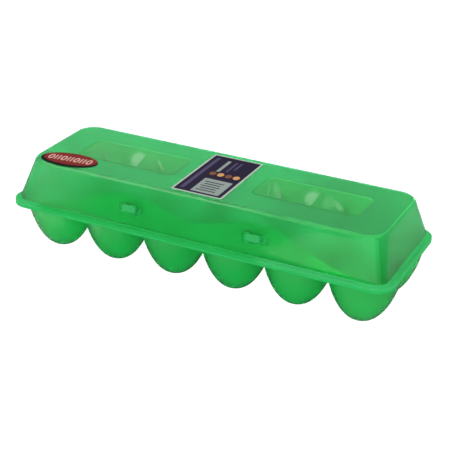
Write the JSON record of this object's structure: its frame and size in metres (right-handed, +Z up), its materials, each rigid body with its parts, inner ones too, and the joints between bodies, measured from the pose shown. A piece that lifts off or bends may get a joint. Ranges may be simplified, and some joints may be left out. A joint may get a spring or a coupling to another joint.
{
  "type": "egg tray",
  "caption": "Reusable translucent green plastic egg box: tray of round cups with a hinged lid and an inner locking flap whose buttons snap into the lid.",
  "frame": {"origin": "on the table under the middle of the box: the centre of the bounding box at the bottom of the egg cups", "axes": "+X along the box to the right as seen from the front, +Y to the back where the lid hinges, +Z up"},
  "size_m": [0.3, 0.1088, 0.0736],
  "materials": {
    "base_green": "translucent moulded polypropylene",
    "lid_green": "translucent moulded polypropylene, finely frosted, windows polished",
    "flap_green": "translucent moulded polypropylene",
    "label_paper": "printed film label",
    "sticker_paper": "printed film sticker"
  },
  "bodies": {
    "base": {"base_rim": "base_green", "egg_cup_front_1": "base_green", "egg_cup_front_2": "base_green", "egg_cup_front_3": "base_green", "egg_cup_front_4": "base_green", "egg_cup_front_5": "base_green", "egg_cup_front_6": "base_green", "egg_cup_back_1": "base_green", "egg_cup_back_2": "base_green", "egg_cup_back_3": "base_green", "egg_cup_back_4": "base_green", "egg_cup_back_5": "base_green", "egg_cup_back_6": "base_green", "divider_post_1": "base_green", "divider_post_2": "base_green", "divider_post_3": "base_green", "divider_post_4": "base_green", "divider_post_5": "base_green", "flap_hinge_web": "base_green", "lid_hinge_lower_leaf": "base_green"},
    "lid": {"lid_shell": "lid_green", "lid_hinge_upper_leaf": "lid_green", "lid_label": "label_paper", "oval_sticker": "sticker_paper"},
    "flap": {"locking_flap": "flap_green", "catch_button_left": "flap_green", "catch_button_right": "flap_green"}
  },
  "joints": [
    {"name": "lid_hinge", "type": "hinge", "parent": "base", "child": "lid", "pos_m": [0, 0.05457, 0.03985], "axis": [-1, 0, 0], "range_deg": [0, 180]},
    {"name": "flap_hinge", "type": "hinge", "parent": "base", "child": "flap", "pos_m": [0, -0.05031, 0.04065], "axis": [-1, 0, 0], "range_deg": [0, 25], "stiffness_Nm_per_rad": 0.05}
  ]
}
